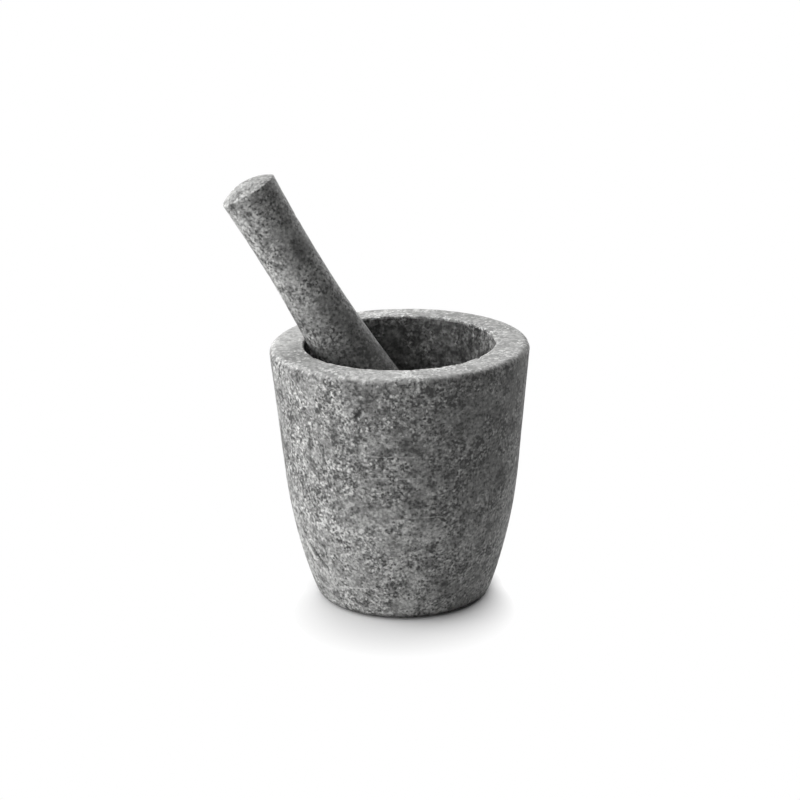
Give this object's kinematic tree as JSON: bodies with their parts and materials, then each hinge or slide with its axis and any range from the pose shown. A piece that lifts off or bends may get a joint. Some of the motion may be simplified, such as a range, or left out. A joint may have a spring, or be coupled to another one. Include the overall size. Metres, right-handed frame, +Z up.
{
  "type": "mortar and pestle",
  "caption": "Heavy tapered granite grinding bowl with a thick rounded rim and a deep round-floored hollow, and a loose waisted granite pestle that stands in it and leans on the rim.",
  "frame": {"origin": "middle of the bowl's flat base, on the table", "axes": "+Z up along the bowl's axis; -Y is the front, towards the viewer of the picture; the pestle leans towards -X"},
  "size_m": [0.1508, 0.13, 0.2163],
  "materials": {
    "mortar_granite": "matte",
    "pestle_granite": "matte"
  },
  "bodies": {
    "mortar": {"mortar": "mortar_granite"},
    "pestle": {"pestle": "pestle_granite"}
  },
  "joints": [
    {"name": "pestle_lift", "type": "slide", "parent": "mortar", "child": "pestle", "axis": [0, 0, 1], "range_m": [0, 0.12]}
  ]
}
